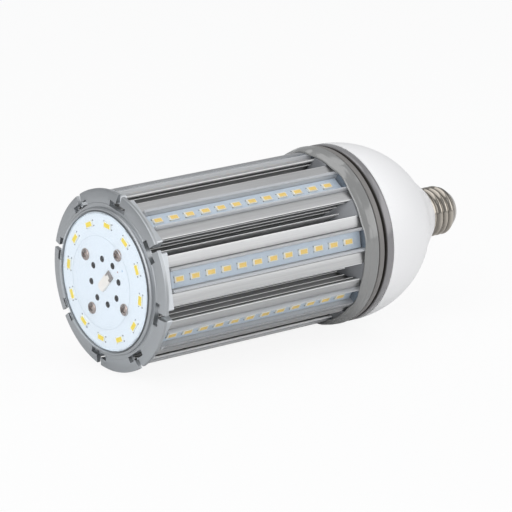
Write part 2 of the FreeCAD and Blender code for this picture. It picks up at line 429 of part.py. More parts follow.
base.setExpression("Placement.Base.x", ex("-base_station"))
glass = new_body("base_insulator")
turned(glass, "cone", [("shell_end - 0.2", "0"), ("shell_end - 0.2", "thread_root - shell_skin"), ("cone_end", "cone_end_radius - shell_skin"), ("cone_end + 0.1", "cone_end_radius - 0.6"),
                       ("glass_end", "glass_radius"), ("glass_end", "contact_radius - 1.6"), ("glass_end - 1", "contact_radius - 1.6"), ("glass_end - 1", "0")])
tip = new_body("centre_contact")
turned(tip, "button", [("glass_end - 1", "0"), ("glass_end - 1", "contact_radius - 1.7"), ("glass_end", "contact_radius - 1.7"), ("glass_end", "contact_radius"), ("glass_end + 1", "contact_radius"),
                       ("contact_end - 0.6", "contact_radius - 1.2"), ("contact_end", "contact_radius - 2.6"), ("contact_end", "0")])

doc.recompute()
NODES = [o for o in doc.Objects if o.TypeId == "PartDesign::Body" or o is base]
for o in doc.Objects:
    if "Invalid" in o.State or "Error" in o.State:
        raise RuntimeError("%s: %s" % (o.Name, o.State))
for o in NODES:
    if o.Shape.isNull() or not o.Shape.isValid() or not o.Shape.Solids:
        raise RuntimeError("bad shape " + o.Label)

os.makedirs("parts", exist_ok=True)
for o in NODES:
    o.Shape.exportStep("parts/%s.step" % o.Label)
    box = o.Shape.BoundBox
    print("%-16s solids %2d volume %9.1f x %7.2f..%7.2f r %.2f" % (o.Label, len(o.Shape.Solids), o.Shape.Volume, box.XMin, box.XMax, max(box.YMax, box.ZMax)))
print("nodes", len(NODES))
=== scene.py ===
import math

import bmesh
import bpy
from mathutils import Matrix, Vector


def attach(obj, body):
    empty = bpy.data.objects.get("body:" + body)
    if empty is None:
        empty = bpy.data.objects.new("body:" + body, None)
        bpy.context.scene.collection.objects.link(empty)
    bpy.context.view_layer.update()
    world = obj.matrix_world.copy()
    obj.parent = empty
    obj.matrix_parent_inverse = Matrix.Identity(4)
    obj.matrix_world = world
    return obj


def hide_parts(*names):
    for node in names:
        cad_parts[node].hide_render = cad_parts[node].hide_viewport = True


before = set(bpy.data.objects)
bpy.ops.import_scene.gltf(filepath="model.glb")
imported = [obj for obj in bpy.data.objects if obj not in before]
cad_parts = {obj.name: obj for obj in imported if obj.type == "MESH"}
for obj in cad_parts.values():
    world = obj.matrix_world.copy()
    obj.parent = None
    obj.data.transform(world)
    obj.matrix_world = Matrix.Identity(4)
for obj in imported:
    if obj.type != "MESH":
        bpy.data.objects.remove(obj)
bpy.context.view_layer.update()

# Studio: a pale sweep of floor under the lying lamp, a white surround, four
# soft boxes and the camera that looks down past the lit end of the lamp.
SHELL_START = 0.2045


def place(station, across=0.0, up=0.0):
    # stations are millimetres along the lamp, counted from its lit end
    return Vector((station * 0.001 - SHELL_START, across * 0.001, up * 0.001))


camera_data = bpy.data.cameras.new("camera")
camera_data.lens = 240.07
camera_data.sensor_width = 36.0
camera_data.clip_end = 20.0
camera = bpy.data.objects.new("camera", camera_data)
bpy.context.scene.collection.objects.link(camera)
forward = Vector((0.6066, 0.7480, -0.2688)).normalized()
camera.location = place(-953.8, -1294.6, 461.6)
camera.rotation_euler = forward.to_track_quat("-Z", "Y").to_euler()
bpy.context.scene.camera = camera
bpy.context.scene.view_settings.view_transform = "Standard"


def maths(tree, operation, *values, clamp=False):
    # a math node's result; each value is a number or another node's output
    node = tree.nodes.new("ShaderNodeMath")
    node.operation = operation
    node.use_clamp = clamp
    for slot, value in zip(node.inputs, values):
        if isinstance(value, bpy.types.NodeSocket):
            tree.links.new(value, slot)
        else:
            slot.default_value = value
    return node.outputs[0]


def blend(tree, share, first, second):
    mix = tree.nodes.new("ShaderNodeMixShader")
    for value, slot in zip((share, first, second), mix.inputs):
        tree.links.new(value, slot)
    return mix.outputs[0]


world = bpy.data.worlds.new("white_surround")
bpy.context.scene.world = world
world.use_nodes = True
sky = world.node_tree
sky.nodes.clear()
sky_out = sky.nodes.new("ShaderNodeOutputWorld")
sky_seen = sky.nodes.new("ShaderNodeBackground")
sky_seen.inputs["Color"].default_value = (1, 1, 1, 1)
sky_seen.inputs["Strength"].default_value = 1.0
sky_light = sky.nodes.new("ShaderNodeBackground")
sky_light.inputs["Color"].default_value = (0.96, 0.98, 1.0, 1)
sky_light.inputs["Strength"].default_value = 0.40
sky_path = sky.nodes.new("ShaderNodeLightPath")
sky_any = maths(sky, "MAXIMUM", sky_path.outputs["Is Camera Ray"], sky_path.outputs["Is Transmission Ray"])
sky.links.new(blend(sky, sky_any, sky_light.outputs[0], sky_seen.outputs[0]), sky_out.inputs[0])


def soft_box(name, where, target, size, power, tint=(1, 1, 1)):
    light = bpy.data.lights.new(name, "AREA")
    light.shape = "RECTANGLE"
    light.size, light.size_y = size
    light.energy = power
    light.color = tint
    lamp = bpy.data.objects.new(name, light)
    lamp.location = where
    lamp.rotation_euler = (Vector(target) - Vector(where)).to_track_quat("-Z", "Y").to_euler()
    bpy.context.scene.collection.objects.link(lamp)


middle = place(90)
soft_box("right_box", (0.80, -1.10, 0.56), middle, (1.8, 1.0), 7.1)
soft_box("high_box", (1.15, -0.55, 1.40), middle, (0.9, 0.6), 1.5)
soft_box("left_box", (-1.30, -0.45, 0.55), middle, (1.4, 1.4), 11.0, (0.97, 0.985, 1.0))
soft_box("top_box", (-0.25, 0.25, 1.5), middle, (1.8, 1.4), 8.0)


def body_of(name, bm):
    # the points and faces as an object of their own, at the origin
    mesh = bpy.data.meshes.new(name)
    bm.to_mesh(mesh)
    bm.free()
    obj = bpy.data.objects.new(name, mesh)
    bpy.context.scene.collection.objects.link(obj)
    return obj


bm = bmesh.new()
bmesh.ops.create_grid(bm, x_segments=1, y_segments=1, size=6.0)
floor = body_of("floor", bm)
floor.location = (0, 0, -0.0466)
floor_paint = bpy.data.materials.new("floor_paper")
floor_paint.use_nodes = True
paper = floor_paint.node_tree
paper.nodes.clear()
paper_out = paper.nodes.new("ShaderNodeOutputMaterial")
paper_matt = paper.nodes.new("ShaderNodeBsdfDiffuse")
paper_matt.inputs["Color"].default_value = (0.86, 0.86, 0.86, 1)
paper_glow = paper.nodes.new("ShaderNodeEmission")
paper_glow.inputs["Color"].default_value = (1, 1, 1, 1)
paper_path = paper.nodes.new("ShaderNodeLightPath")
paper_share = maths(paper, "MULTIPLY", paper_path.outputs["Is Camera Ray"], 0.9)
paper.links.new(blend(paper, paper_share, paper_matt.outputs[0], paper_glow.outputs[0]), paper_out.inputs[0])
floor.data.materials.append(floor_paint)

# Heat sink: one aluminium extrusion, a hub with eight hollow T shaped arms
# whose flanks are ridged, and a thin fin in every channel between the arms.
# Sawn to length and anodised, so the draw lines run along it.
ARM_COUNT = 8
ARM_TURN = math.radians(-10.72)
BETWEEN_ARMS = ARM_TURN + math.pi / ARM_COUNT
SINK = (5.4, 136.0)


def run_round(outline):
    # the length run so far at each corner of a closed outline
    run = [0.0]
    for a, b in zip(outline, outline[1:] + outline[:1]):
        run.append(run[-1] + math.hypot(b[0] - a[0], b[1] - a[1]))
    return run


def extruded(name, outline, span, steps=1):
    # outline is a closed loop of (across, height); the walls carry a UV of
    # (station, run round the outline) so that draw lines follow the length
    bm = bmesh.new()
    uv = bm.loops.layers.uv.new("draw")
    stations = [span[0] + (span[1] - span[0]) * i / steps for i in range(steps + 1)]
    rows = [[bm.verts.new(place(x, w, h)) for w, h in outline] for x in stations]
    run = run_round(outline)
    for s in range(steps):
        for i in range(len(outline)):
            j = (i + 1) % len(outline)
            face = bm.faces.new((rows[s][i], rows[s][j], rows[s + 1][j], rows[s + 1][i]))
            for loop, (x, r) in zip(face.loops, ((s, i), (s, i + 1), (s + 1, i + 1), (s + 1, i))):
                loop[uv].uv = (stations[x] * 0.001, run[r] * 0.001)
    for row in (list(reversed(rows[0])), rows[-1]):
        face = bm.faces.new(row)
        for loop in face.loops:
            loop[uv].uv = (loop.vert.co.y, loop.vert.co.z)
    bmesh.ops.recalc_face_normals(bm, faces=bm.faces)
    bmesh.ops.triangulate(bm, faces=[f for f in bm.faces if len(f.verts) > 4])
    return body_of(name, bm)


def crease(obj, angle=32.0):
    # smooth faces, with every edge sharper than the angle kept sharp
    for polygon in obj.data.polygons:
        polygon.use_smooth = True
    obj.data.set_sharp_from_angle(angle=math.radians(angle))
    return obj


def ring_tree():
    # a row of copies along X, repeated round the lamp's axis
    tree = bpy.data.node_groups.new("copies_round_the_axis", "GeometryNodeTree")
    face = tree.interface
    for name, kind in (("Geometry", "Geometry"), ("Copies", "Int"), ("Turn", "Float"),
                       ("Row Count", "Int"), ("Row Pitch", "Float"), ("Finish", "Material")):
        face.new_socket(name, in_out="INPUT", socket_type="NodeSocket" + kind)
    face.new_socket("Geometry", in_out="OUTPUT", socket_type="NodeSocketGeometry")
    n, l = tree.nodes, tree.links
    into, out = n.new("NodeGroupInput"), n.new("NodeGroupOutput")
    offset = n.new("ShaderNodeCombineXYZ")
    l.new(into.outputs["Row Pitch"], offset.inputs["X"])
    line = n.new("GeometryNodeMeshLine")
    l.new(into.outputs["Row Count"], line.inputs["Count"])
    l.new(offset.outputs[0], line.inputs["Offset"])
    row = n.new("GeometryNodeInstanceOnPoints")
    l.new(line.outputs[0], row.inputs["Points"])
    l.new(into.outputs["Geometry"], row.inputs["Instance"])
    points = n.new("GeometryNodePoints")
    l.new(into.outputs["Copies"], points.inputs["Count"])
    index = n.new("GeometryNodeInputIndex")
    step = maths(tree, "DIVIDE", math.tau, into.outputs["Copies"])
    angle = maths(tree, "MULTIPLY_ADD", index.outputs[0], step, into.outputs["Turn"])
    spin = n.new("ShaderNodeCombineXYZ")
    l.new(angle, spin.inputs["X"])
    ring = n.new("GeometryNodeInstanceOnPoints")
    l.new(points.outputs[0], ring.inputs["Points"])
    l.new(row.outputs[0], ring.inputs["Instance"])
    l.new(spin.outputs[0], ring.inputs["Rotation"])
    real = n.new("GeometryNodeRealizeInstances")
    l.new(ring.outputs[0], real.inputs[0])
    dress = n.new("GeometryNodeSetMaterial")
    l.new(real.outputs[0], dress.inputs["Geometry"])
    l.new(into.outputs["Finish"], dress.inputs["Material"])
    l.new(dress.outputs[0], out.inputs[0])
    return tree


COPIES = ring_tree()


def copies(base, name, finish, count=1, turn=0.0, row=1, pitch=0.0):
    # the base repeated by the tree, as one plain mesh in place of the base
    modifier = base.modifiers.new("copies", "NODES")
    modifier.node_group = COPIES
    keys = {item.name: item.identifier for item in COPIES.interface.items_tree if item.in_out == "INPUT"}
    modifier[keys["Copies"]] = count
    modifier[keys["Turn"]] = turn
    modifier[keys["Row Count"]] = row
    modifier[keys["Row Pitch"]] = pitch * 0.001
    modifier[keys["Finish"]] = finish
    bpy.context.view_layer.update()
    graph = bpy.context.evaluated_depsgraph_get()
    mesh = bpy.data.meshes.new_from_object(base.evaluated_get(graph))
    mesh.name = name
    obj = bpy.data.objects.new(name, mesh)
    bpy.context.scene.collection.objects.link(obj)
    bpy.data.objects.remove(base)
    return obj


def on_every_arm(name, outline, span, finish, angle=40.0, turn=ARM_TURN, steps=1):
    # a straight piece of the outline's section on each of the arms
    section = crease(extruded(name + "_section", outline, span, steps), angle)
    return copies(section, name, finish, ARM_COUNT, turn)


def finish_base(name, colour, metallic, rough, coat=0.0):
    # a finish with its colour and gloss before any grain, tint or dye
    material = bpy.data.materials.new(name)
    material.use_nodes = True
    shader = material.node_tree.nodes["Principled BSDF"]
    shader.inputs["Base Color"].default_value = (*colour, 1)
    shader.inputs["Metallic"].default_value = metallic
    shader.inputs["Roughness"].default_value = rough
    shader.inputs["Coat Weight"].default_value = coat
    shader.inputs["Coat Roughness"].default_value = 0.12
    return material, material.node_tree, shader


def tint_by(tree, shader, value, dark, light):
    # the colour goes from dark to light over the middle of the value's range
    ramp = tree.nodes.new("ShaderNodeValToRGB")
    for stop, position, colour in zip(ramp.color_ramp.elements, (0.35, 0.65), (dark, light)):
        stop.position, stop.color = position, (*colour, 1)
    tree.links.new(value, ramp.inputs[0])
    tree.links.new(ramp.outputs[0], shader.inputs["Base Color"])


def paint_light_and_shade_by(tree, shader, value, reach, stops, steps="LINEAR"):
    # painted light and shade: the colour is made weaker or stronger along a value, at the stops given
    share = tree.nodes.new("ShaderNodeMapRange")
    share.inputs["From Min"].default_value, share.inputs["From Max"].default_value = reach
    tree.links.new(value, share.inputs["Value"])
    light_shade_ramp = tree.nodes.new("ShaderNodeValToRGB")
    light_shade_ramp.color_ramp.interpolation = steps
    elements = light_shade_ramp.color_ramp.elements
    for i, (position, strength) in enumerate(stops):
        stop = elements[i] if i < 2 else elements.new(position)
        stop.position, stop.color = position, (strength, strength, strength, 1)
    tree.links.new(share.outputs[0], light_shade_ramp.inputs[0])
    light_shade_mix = tree.nodes.new("ShaderNodeMixRGB")
    light_shade_mix.blend_type = "MULTIPLY"
    light_shade_mix.inputs[0].default_value = 1.0
    tree.links.new(shader.inputs["Base Color"].links[0].from_socket, light_shade_mix.inputs[1])
    tree.links.new(light_shade_ramp.outputs[0], light_shade_mix.inputs[2])
    tree.links.new(light_shade_mix.outputs[0], shader.inputs["Base Color"])


def grain(tree, shader, scale, rough, tints=None, stretch=(1, 1, 1), source="Object", detail=3.0):
    # noise that spreads the roughness, and the colour where two tints are given
    n, l = tree.nodes, tree.links
    where = n.new("ShaderNodeTexCoord")
    mapping = n.new("ShaderNodeMapping")
    mapping.inputs["Scale"].default_value = stretch
    l.new(where.outputs[source], mapping.inputs[0])
    noise = n.new("ShaderNodeTexNoise")
    noise.inputs["Scale"].default_value = scale
    noise.inputs["Detail"].default_value = detail
    l.new(mapping.outputs[0], noise.inputs["Vector"])
    spread = n.new("ShaderNodeMapRange")
    spread.inputs["From Min"].default_value = 0.3
    spread.inputs["From Max"].default_value = 0.7
    spread.inputs["To Min"].default_value, spread.inputs["To Max"].default_value = rough
    l.new(noise.outputs["Fac"], spread.inputs["Value"])
    l.new(spread.outputs[0], shader.inputs["Roughness"])
    if tints:
        tint_by(tree, shader, noise.outputs["Fac"], *tints)
    return noise


def emboss(tree, shader, noise, strength, distance=0.00005):
    bump = tree.nodes.new("ShaderNodeBump")
    bump.inputs["Strength"].default_value = strength
    bump.inputs["Distance"].default_value = distance
    tree.links.new(noise.outputs["Fac"], bump.inputs["Height"])
    tree.links.new(bump.outputs[0], shader.inputs["Normal"])


def axes_of(tree, source):
    # the three parts of a texture coordinate
    where = tree.nodes.new("ShaderNodeTexCoord")
    parts = tree.nodes.new("ShaderNodeSeparateXYZ")
    tree.links.new(where.outputs[source], parts.inputs[0])
    return parts.outputs


ridge_half, ridge_height, ridge_pitch, ridge_taper, ridge_depth = 11.4, 38.3, 3.4, 0.75, 1.7
# one ridge: steps of half a pitch, and the share of the depth cut away there
ridge_shape = ((-1.0, 1.0), (-0.3, 1.0), (-0.17, 0.25), (-0.1, 0.06), (0.0, 0.0),
               (0.1, 0.06), (0.17, 0.25), (0.3, 1.0), (0.75, 1.0))
flank_low, flank_high = 23.0, 39.4
flank = [(7.4, 20.5), (7.7, 22.4)]
for k in range(4, -1, -1):
    for along, share in ridge_shape:
        height = ridge_height - k * ridge_pitch + along * ridge_pitch / 2
        tip = ridge_half - (ridge_height - height) / ridge_pitch * ridge_taper
        if flank_low < height < flank_high:
            flank.append((tip - ridge_depth * share, height))
face_across, face_under = 10.5, 39.5
face_side = [(face_across, face_under), (11.9, 39.6), (12.1, 39.75), (12.2, 40.0), (12.2, 40.45),
             (12.12, 40.66), (11.9, 40.76), (11.0, 40.84), (10.0, 40.91), (9.0, 40.97), (8.2, 41.0)]
channel_side = [(6.85, 41.0), (6.6, 40.95), (6.45, 40.8), (6.38, 40.5), (6.35, 39.5),
                (6.8, 39.3), (6.8, 38.5), (6.35, 38.3), (6.35, 38.0)]
arm_side = flank + face_side + channel_side
arm_outline = arm_side + [(-w, h) for w, h in reversed(arm_side)]
draw_stretch = (0.015, 1.0, 1.0)
aluminium, tree, shader = finish_base("anodised_aluminium", (0.58, 0.58, 0.58), 0.85, 0.4)
draw_lines = grain(tree, shader, 1600.0, (0.36, 0.46), ((0.55, 0.55, 0.555), (0.61, 0.61, 0.608)),
                   draw_stretch, "UV")
emboss(tree, shader, draw_lines, 0.12, 0.00002)
# painted shade: the ridged flanks, the two ends of the outline's run, are painted darker than the face
arm_run = run_round(arm_outline)
face_from = arm_run[arm_outline.index((face_across, face_under))] / arm_run[-1]
face_to = arm_run[arm_outline.index((-face_across, face_under))] / arm_run[-1]
paint_light_and_shade_by(tree, shader, axes_of(tree, "UV")["Y"], (0, arm_run[-1] * 0.001),
       [(0, 0.6), (face_from, 1), (face_to, 0.6)], "CONSTANT")
arms = on_every_arm("sink_arms", arm_outline, SINK, aluminium, 30)

fin_half, fin_foot, fin_shoulder, fin_tip, tip_round = 0.6, 22.0, 30.0, 35.98, 0.32
fin_outline = [(-fin_half, fin_foot), (fin_half, fin_foot), (fin_half, fin_shoulder)]
for k in range(9):
    a = math.pi * k / 8
    fin_outline.append((tip_round * math.cos(a), fin_tip + tip_round * math.sin(a)))
fin_outline.append((-fin_half, fin_shoulder))
# painted light: the hub and the fins, deep in the channels, get a lighter and less metallic copy of the
# aluminium
hub_painted_light, tree, shader = finish_base("anodised_hub_painted_light", (0.93, 0.93, 0.93), 0.1, 0.5)
grain(tree, shader, 1600.0, (0.4, 0.5), ((0.90, 0.90, 0.905), (0.96, 0.96, 0.958)), draw_stretch, "UV")
fins = on_every_arm("sink_fins", fin_outline, SINK, hub_painted_light, 40, BETWEEN_ARMS)


def hoop(bm, station, radius, count):
    # points round the lamp's axis
    around = [math.tau * k / count for k in range(count)]
    return [bm.verts.new(place(station, radius * math.cos(a), radius * math.sin(a))) for a in around]


def turned(name, profile, segments=192):
    # profile is a closed loop of (station, radius), turned about the axis; a
    # point on the axis is a pole
    bm = bmesh.new()
    uv = bm.loops.layers.uv.new("draw")
    rings = [hoop(bm, x, r, segments) if r > 1e-6 else [bm.verts.new(place(x))] for x, r in profile]
    run = run_round(profile)
    for i in range(len(profile)):
        a, b = rings[i], rings[(i + 1) % len(rings)]
        if len(a) == 1 and len(b) == 1:
            continue
        for k in range(segments):
            m = (k + 1) % segments
            if len(a) == 1:
                corners, spots = (a[0], b[k], b[m]), ((i, k), (i + 1, k), (i + 1, k + 1))
            elif len(b) == 1:
                corners, spots = (a[k], a[m], b[0]), ((i, k), (i, k + 1), (i + 1, k))
            else:
                corners, spots = (a[k], a[m], b[m], b[k]), ((i, k), (i, k + 1), (i + 1, k + 1), (i + 1, k))
            face = bm.faces.new(corners)
            for loop, (s, q) in zip(face.loops, spots):
                loop[uv].uv = (run[s] * 0.001, q / segments)
    bmesh.ops.recalc_face_normals(bm, faces=bm.faces)
    return crease(body_of(name, bm))


hub_bore, hub_radius = 11.0, 23.0
hub = turned("sink_hub", [(SINK[0], hub_bore), (SINK[0], hub_radius),
                          (SINK[1], hub_radius), (SINK[1], hub_bore)])
hub.data.materials.append(hub_painted_light)


def round_outline(across, height, radius, count):
    turns = [math.tau * k / count for k in range(count)]
    return [(across + radius * math.cos(a), height + radius * math.sin(a)) for a in turns]


# painted highlight: a thin bead in a bright finish on the three upper ridges and on the corner of the face
highlight_bead_finish, tree, shader = finish_base("ridge_edge_painted_highlight", (0.92, 0.92, 0.92), 0.3, 0.4)
grain(tree, shader, 1600.0, (0.4, 0.5), ((0.88, 0.88, 0.88), (0.95, 0.95, 0.945)), draw_stretch, "UV")
bead_radius, bead_span = 0.22, (SINK[0] + 0.3, SINK[1] - 0.3)
bead_places = [(ridge_half - k * ridge_taper - 0.06, ridge_height - k * ridge_pitch) for k in range(3)]
bead_places.append((12.02, 40.52))
ridge_edges = []
for k, (across, height) in enumerate(bead_places):
    for letter, side in (("a", 1), ("b", -1)):
        bead = round_outline(side * across, height, bead_radius, 8)
        ridge_edges.append(on_every_arm("ridge_edges_%d%s" % (k, letter), bead, bead_span, highlight_bead_finish, 60))
for piece in [arms, fins, hub] + ridge_edges:
    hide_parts("heatsink")
    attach(piece, "root")

# Strip boards: eight narrow metal core boards with a pale solder mask, slid
# into the channel of every arm. They carry a row of twelve chips each.
strip_span, strip_half, strip_seat, strip_thick, strip_ease = (11.7, 131.9), 4.15, 38.0, 1.6, 0.12
strip_top = strip_seat + strip_thick
strip_outline = [(-strip_half, strip_seat), (strip_half, strip_seat),
                 (strip_half, strip_top - strip_ease), (strip_half - strip_ease, strip_top),
                 (-strip_half + strip_ease, strip_top), (-strip_half, strip_top - strip_ease)]
solder_mask, tree, shader = finish_base("strip_solder_mask", (0.50, 0.60, 0.72), 0.0, 0.32)
mask_noise = grain(tree, shader, 1300.0, (0.3, 0.4), ((0.585, 0.66, 0.74), (0.62, 0.695, 0.775)),
                   (0.4, 1.0, 1.0), "Object", 2.0)
emboss(tree, shader, mask_noise, 0.05)
strips = on_every_arm("strip_boards", strip_outline, strip_span, solder_mask, 32, steps=4)
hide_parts(*["strip_board_%d" % (k + 1) for k in range(ARM_COUNT)])
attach(strips, "root")

# Chips: flat surface mounted packages, a cream moulded frame round a yellow
# phosphor pad, with two small dark solder marks at one end. Soldered on.
chip_first, chip_pitch, chip_row = 16.41, 9.763, 12
half_long, half_wide, chip_high = 2.85, 1.5, 0.8
chip_start, chip_end = chip_first - half_long, chip_first + half_long


def slab(name, spans, ease):
    # a box over spans of station, across and height, with its edges eased
    bm = bmesh.new()
    bmesh.ops.create_cube(bm, size=1.0)
    for v in bm.verts:
        v.co = Vector([(low + high) / 2 + at * (high - low) for at, (low, high) in zip(v.co, spans)])
    bmesh.ops.bevel(bm, geom=bm.edges[:], offset=ease, segments=1, affect="EDGES")
    for v in bm.verts:
        v.co = place(*v.co)
    bmesh.ops.recalc_face_normals(bm, faces=bm.faces)
    return body_of(name, bm)


chip_frame, tree, shader = finish_base("chip_frame", (0.90, 0.86, 0.74), 0.0, 0.35)
grain(tree, shader, 900.0, (0.3, 0.45), ((0.88, 0.83, 0.70), (0.93, 0.90, 0.80)))
phosphor, tree, shader = finish_base("chip_phosphor", (0.92, 0.54, 0.10), 0.0, 0.35)
grain(tree, shader, 1200.0, (0.3, 0.4), ((1.0, 0.66, 0.17), (1.0, 0.72, 0.21)))
solder_dark, tree, shader = finish_base("solder_mark", (0.16, 0.15, 0.17), 0.4, 0.4)
grain(tree, shader, 1500.0, (0.3, 0.5))
mark_ends, mark_rise = (chip_start - 0.3, chip_start + 0.25), (strip_top - 0.02, strip_top + 0.3)
for name, spans, ease, finish in (
        ("strip_chip_frames", ((chip_start, chip_end), (-half_wide, half_wide),
                               (strip_top - 0.02, strip_top + chip_high - 0.06)), 0.1, chip_frame),
        ("strip_chip_pads", ((chip_start + 0.85, chip_end - 0.45), (-half_wide + 0.42, half_wide - 0.42),
                             (strip_top + 0.3, strip_top + chip_high)), 0.06, phosphor),
        ("strip_chip_marks", (mark_ends, (half_wide - 0.4, half_wide + 0.05), mark_rise), 0.08, solder_dark),
        ("strip_chip_marks_low", (mark_ends, (-half_wide - 0.05, -half_wide + 0.4), mark_rise),
         0.08, solder_dark)):
    piece = crease(copies(slab(name + "_one", spans, ease), name, finish,
                          ARM_COUNT, ARM_TURN, chip_row, chip_pitch))
    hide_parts(*["strip_leds_%d" % (k + 1) for k in range(ARM_COUNT)])
    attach(piece, "root")

# Strip covers: snap-in channels of extruded plastic over every board, with a
# clear domed crown and two frosted side rails that stand in the arm's grooves.
cover_half, cover_side, cover_round, cover_leg, cover_skin, cover_foot = 6.1, 43.0, 15.0, 1.5, 0.6, 38.25
cover_span = (10.7, 133.5)


def crown(half, side, count=13):
    # points of a shallow arc over the cover, from +half to -half
    rise = math.sqrt(cover_round ** 2 - half ** 2)
    across = [half - 2 * half * i / count for i in range(count + 1)]
    return [(w, side + math.sqrt(cover_round ** 2 - w ** 2) - rise) for w in across]


# small gaps stay between crown and rails, so no two clear faces coincide
crown_outline = crown(cover_half - 0.45, cover_side + 0.13)
crown_outline += reversed(crown(cover_half - cover_leg, cover_side - cover_skin))
rail = [(cover_half - cover_leg, cover_foot), (cover_half - 0.3, cover_foot), (cover_half, cover_foot + 0.4),
        (cover_half + 0.45, 38.8), (cover_half, 39.1), (cover_half, cover_side - 0.5),
        (cover_half - 0.12, cover_side - 0.15), (cover_half - 0.45, cover_side + 0.07),
        (cover_half - cover_leg, cover_side - cover_skin - 0.07)]


def clear_plastic(name, tint, body, gloss_rough, edge):
    # only faces turned to the viewer show: as much as body says in the middle
    # and as much as edge says where they slant away
    material = bpy.data.materials.new(name)
    material.use_nodes = True
    tree = material.node_tree
    shader = tree.nodes["Principled BSDF"]
    shader.inputs["Base Color"].default_value = (*tint, 1)
    shader.inputs["Roughness"].default_value = gloss_rough
    shader.inputs["IOR"].default_value = 1.49
    out = tree.nodes["Material Output"]
    through = tree.nodes.new("ShaderNodeBsdfTransparent")
    through.inputs["Color"].default_value = (0.98, 0.985, 0.99, 1)
    fresnel = tree.nodes.new("ShaderNodeFresnel")
    fresnel.inputs["IOR"].default_value = 1.45
    path = tree.nodes.new("ShaderNodeLightPath")
    slant = tree.nodes.new("ShaderNodeLayerWeight")
    slant.inputs["Blend"].default_value = 0.5
    haze = tree.nodes.new("ShaderNodeMapRange")
    haze.interpolation_type = "SMOOTHSTEP"
    haze.inputs["From Min"].default_value = 0.52
    haze.inputs["From Max"].default_value = 0.82
    haze.inputs["To Min"].default_value = body
    haze.inputs["To Max"].default_value = edge
    tree.links.new(slant.outputs["Facing"], haze.inputs["Value"])
    side = tree.nodes.new("ShaderNodeNewGeometry")
    lit = maths(tree, "SUBTRACT", 1.0, path.outputs["Is Shadow Ray"])
    front = maths(tree, "SUBTRACT", lit, side.outputs["Backfacing"], clamp=True)
    amount = maths(tree, "ADD", fresnel.outputs[0], haze.outputs["Result"])
    shown = maths(tree, "MULTIPLY", amount, front, clamp=True)
    tree.links.new(blend(tree, shown, through.outputs[0], shader.outputs[0]), out.inputs["Surface"])
    return material, tree, shader


cover_stretch = (0.03, 1.0, 1.0)
cover_clear, tree, shader = clear_plastic("cover_clear", (0.28, 0.285, 0.295), 0.03, 0.14, 0.92)
grain(tree, shader, 500.0, (0.1, 0.18), None, cover_stretch, "UV")
rail_frost, tree, shader = clear_plastic("cover_rail_frost", (0.50, 0.505, 0.515), 0.82, 0.32, 0.95)
grain(tree, shader, 900.0, (0.3, 0.38), None, cover_stretch, "UV")
# painted light: the rail's top and inner wall, the last part of its outline, are painted brighter
rail_inside_painted_light = tree.nodes.new("ShaderNodeMapRange")
rail_inside_painted_light.inputs["From Min"].default_value = 0.0067
rail_inside_painted_light.inputs["From Max"].default_value = 0.0069
tree.links.new(axes_of(tree, "UV")["Y"], rail_inside_painted_light.inputs["Value"])
tint_by(tree, shader, rail_inside_painted_light.outputs[0], (0.50, 0.505, 0.515), (0.71, 0.715, 0.73))
covers = on_every_arm("strip_covers", crown_outline, cover_span, cover_clear)
rails = on_every_arm("cover_rails", rail, cover_span, rail_frost)
rails_far = on_every_arm("cover_rails_far", [(-w, h) for w, h in rail], cover_span, rail_frost)
for piece in (covers, rails, rails_far):
    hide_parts(*["strip_cover_%d" % (k + 1) for k in range(ARM_COUNT)])
    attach(piece, "root")

# End cap: one grey casting over the end of the extrusion, with a dish and
# raised lip for the disc, a bevelled rim, a skirt over every arm and eight T
# shaped slots that let air into the channels. The disc's screws hold it.


def ease_edges(obj, width, angle, harden=False):
    # a small round on every edge sharper than the angle
    bevel = obj.modifiers.new("eased_edges", "BEVEL")
    bevel.width = width * 0.001
    bevel.segments = 2
    bevel.limit_method = "ANGLE"
    bevel.angle_limit = math.radians(angle)
    bevel.harden_normals = harden


cap_paint, tree, shader = finish_base("cap_satin_grey", (0.43, 0.445, 0.46), 0.85, 0.36)
cap_noise = grain(tree, shader, 2600.0, (0.33, 0.39), ((0.42, 0.435, 0.45), (0.44, 0.455, 0.47)))
emboss(tree, shader, cap_noise, 0.06, 0.00001)
# painted light: the skirts over the arms are painted lighter than the face, by depth
skirt_from, skirt_to = place(SINK[0] - 0.7).x, place(SINK[0] - 0.1).x
paint_light_and_shade_by(tree, shader, axes_of(tree, "Object")["X"], (skirt_from, skirt_to), [(0, 1.02), (1, 1.6)])
# its mesh is the solid's own, merged, with flat faces joined
cap_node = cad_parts["end_cap"]
bm = bmesh.new()
bm.from_mesh(cap_node.data)
bm.transform(cap_node.matrix_world)
bmesh.ops.remove_doubles(bm, verts=bm.verts, dist=1e-6)
bmesh.ops.dissolve_limit(bm, angle_limit=math.radians(1.2), verts=bm.verts, edges=bm.edges)
cap = crease(body_of("end_cap_shell", bm), 28)
ease_edges(cap, 0.22, 28, True)
cap.data.materials.append(cap_paint)
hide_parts("end_cap")
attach(cap, "root")

# End disc: a round metal core board with a bright white solder mask, a ring of
# small punched holes, and twelve chips soldered round its edge. It lies in the
# cap's dish.
disc_mask, tree, shader = finish_base("disc_solder_mask", (0.88, 0.94, 1.0), 0.0, 0.3)
disc_noise = grain(tree, shader, 1200.0, (0.26, 0.36), ((0.875, 0.935, 0.99), (0.90, 0.95, 1.0)))
emboss(tree, shader, disc_noise, 0.04)
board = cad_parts["end_board"]
board.material_slots[0].material = disc_mask
bore_painted_shade, tree, shader = finish_base("bore_painted_shade", (0.07, 0.05, 0.045), 0.2, 0.5)
grain(tree, shader, 900.0, (0.45, 0.6), ((0.06, 0.042, 0.04), (0.09, 0.065, 0.055)))
board.data.materials.append(bore_painted_shade)
